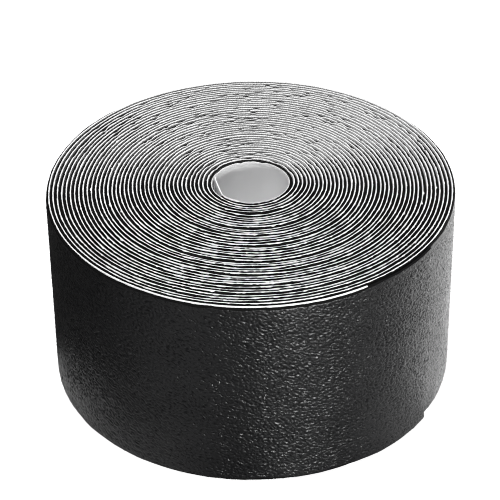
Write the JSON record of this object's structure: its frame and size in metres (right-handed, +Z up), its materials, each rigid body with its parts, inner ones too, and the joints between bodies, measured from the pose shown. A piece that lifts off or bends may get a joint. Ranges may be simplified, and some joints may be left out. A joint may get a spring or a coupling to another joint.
{
  "type": "grip tape roll",
  "caption": "Wound roll of leather-grained racket grip tape with its release liner, an open core, a free outer tail with a closing tab, and a liner flap in the core.",
  "frame": {"origin": "middle of the roll's footprint, on the plane it rests on", "axes": "+Z up along the winding axis, +X to the right and +Y away from the viewer, with the tail's free end at the front right"},
  "size_m": [0.0484, 0.0488, 0.0254],
  "materials": {
    "skin": "satin, fine leather grain",
    "backing": "matt woven cloth",
    "adhesive": "tacky, semi-gloss",
    "liner": "smooth coated paper"
  },
  "bodies": {
    "roll": {"coil_liner": "liner", "coil_adhesive": "adhesive", "coil_backing": "backing", "coil_skin": "skin"},
    "tail_link_1": {"tail_liner_1": "liner", "tail_adhesive_1": "adhesive", "tail_backing_1": "backing", "tail_skin_1": "skin"},
    "tail_link_2": {"tail_liner_2": "liner", "tail_adhesive_2": "adhesive", "tail_backing_2": "backing", "tail_skin_2": "skin"},
    "tail_link_3": {"tail_liner_3": "liner", "tail_adhesive_3": "adhesive", "tail_backing_3": "backing", "tail_skin_3": "skin"},
    "tail_link_4": {"tail_liner_4": "liner", "tail_adhesive_4": "adhesive", "tail_backing_4": "backing", "tail_skin_4": "skin"},
    "tail_link_5": {"tail_liner_5": "liner", "tail_adhesive_5": "adhesive", "tail_backing_5": "backing", "tail_skin_5": "skin"},
    "tail_link_6": {"tail_adhesive_6": "adhesive", "tail_backing_6": "backing", "tail_skin_6": "skin"},
    "tail_link_7": {"tail_adhesive_7": "adhesive", "tail_backing_7": "backing", "tail_skin_7": "skin"},
    "tail_link_8": {"tail_adhesive_8": "adhesive", "tail_backing_8": "backing", "tail_skin_8": "skin"},
    "tab_link_1": {"tab_adhesive_1": "adhesive", "tab_backing_1": "backing", "tab_skin_1": "skin"},
    "tab_link_2": {"tab_adhesive_2": "adhesive", "tab_backing_2": "backing", "tab_skin_2": "skin"},
    "liner_link_1": {"tail_liner_6": "liner"},
    "liner_link_2": {"tail_liner_7": "liner"},
    "liner_link_3": {"tail_liner_8": "liner"},
    "core_flap": {"core_flap": "liner"}
  },
  "joints": [
    {"name": "tail_unroll", "type": "hinge", "parent": "roll", "child": "tail_link_1", "pos_m": [-0.0214, -0.01145, 0.0127], "axis": [0, 0, -1], "range_deg": [0, 15]},
    {"name": "tail_bend_2", "type": "hinge", "parent": "tail_link_1", "child": "tail_link_2", "pos_m": [-0.01862, -0.01559, 0.0127], "axis": [0, 0, -1], "range_deg": [0, 15]},
    {"name": "tail_bend_3", "type": "hinge", "parent": "tail_link_2", "child": "tail_link_3", "pos_m": [-0.01505, -0.01909, 0.0127], "axis": [0, 0, -1], "range_deg": [0, 15]},
    {"name": "tail_bend_4", "type": "hinge", "parent": "tail_link_3", "child": "tail_link_4", "pos_m": [-0.01085, -0.02178, 0.0127], "axis": [0, 0, -1], "range_deg": [0, 15]},
    {"name": "tail_bend_5", "type": "hinge", "parent": "tail_link_4", "child": "tail_link_5", "pos_m": [-0.00618, -0.02356, 0.0127], "axis": [0, 0, -1], "range_deg": [0, 15]},
    {"name": "tail_bend_6", "type": "hinge", "parent": "tail_link_5", "child": "tail_link_6", "pos_m": [-0.00126, -0.02435, 0.0127], "axis": [0, 0, -1], "range_deg": [0, 15]},
    {"name": "tail_bend_7", "type": "hinge", "parent": "tail_link_6", "child": "tail_link_7", "pos_m": [0.00373, -0.02412, 0.0127], "axis": [0, 0, -1], "range_deg": [0, 15]},
    {"name": "tail_bend_8", "type": "hinge", "parent": "tail_link_7", "child": "tail_link_8", "pos_m": [0.00857, -0.02288, 0.0127], "axis": [0, 0, -1], "range_deg": [0, 15]},
    {"name": "tab_bend_1", "type": "hinge", "parent": "tail_link_8", "child": "tab_link_1", "pos_m": [0.01305, -0.02068, 0.0127], "axis": [0, 0, -1], "range_deg": [0, 15]},
    {"name": "tab_bend_2", "type": "hinge", "parent": "tab_link_1", "child": "tab_link_2", "pos_m": [0.01723, -0.01735, 0.0127], "axis": [0, 0, -1], "range_deg": [0, 15]},
    {"name": "liner_peel_1", "type": "hinge", "parent": "tail_link_5", "child": "liner_link_1", "pos_m": [-0.00124, -0.02404, 0.0127], "axis": [0, 0, -1], "range_deg": [0, 6]},
    {"name": "liner_peel_2", "type": "hinge", "parent": "liner_link_1", "child": "liner_link_2", "pos_m": [0.00369, -0.02382, 0.0127], "axis": [0, 0, -1], "range_deg": [0, 6]},
    {"name": "liner_peel_3", "type": "hinge", "parent": "liner_link_2", "child": "liner_link_3", "pos_m": [0.00846, -0.02259, 0.0127], "axis": [0, 0, -1], "range_deg": [0, 6]},
    {"name": "core_flap_bend", "type": "hinge", "parent": "roll", "child": "core_flap", "pos_m": [-0.00333, -0.00185, 0.0127], "axis": [0, 0, -1], "range_deg": [0, 40]}
  ],
  "couplings": [
    {"joint": "tail_bend_2", "follows": "tail_unroll", "ratio": 1},
    {"joint": "tail_bend_3", "follows": "tail_unroll", "ratio": 1},
    {"joint": "tail_bend_4", "follows": "tail_unroll", "ratio": 1},
    {"joint": "tail_bend_5", "follows": "tail_unroll", "ratio": 1},
    {"joint": "tail_bend_6", "follows": "tail_unroll", "ratio": 1},
    {"joint": "tail_bend_7", "follows": "tail_unroll", "ratio": 1},
    {"joint": "tail_bend_8", "follows": "tail_unroll", "ratio": 1},
    {"joint": "tab_bend_1", "follows": "tail_unroll", "ratio": 1},
    {"joint": "tab_bend_2", "follows": "tail_unroll", "ratio": 1},
    {"joint": "liner_peel_1", "follows": "tail_unroll", "ratio": 0.4},
    {"joint": "liner_peel_2", "follows": "tail_unroll", "ratio": 0.4},
    {"joint": "liner_peel_3", "follows": "tail_unroll", "ratio": 0.4}
  ]
}
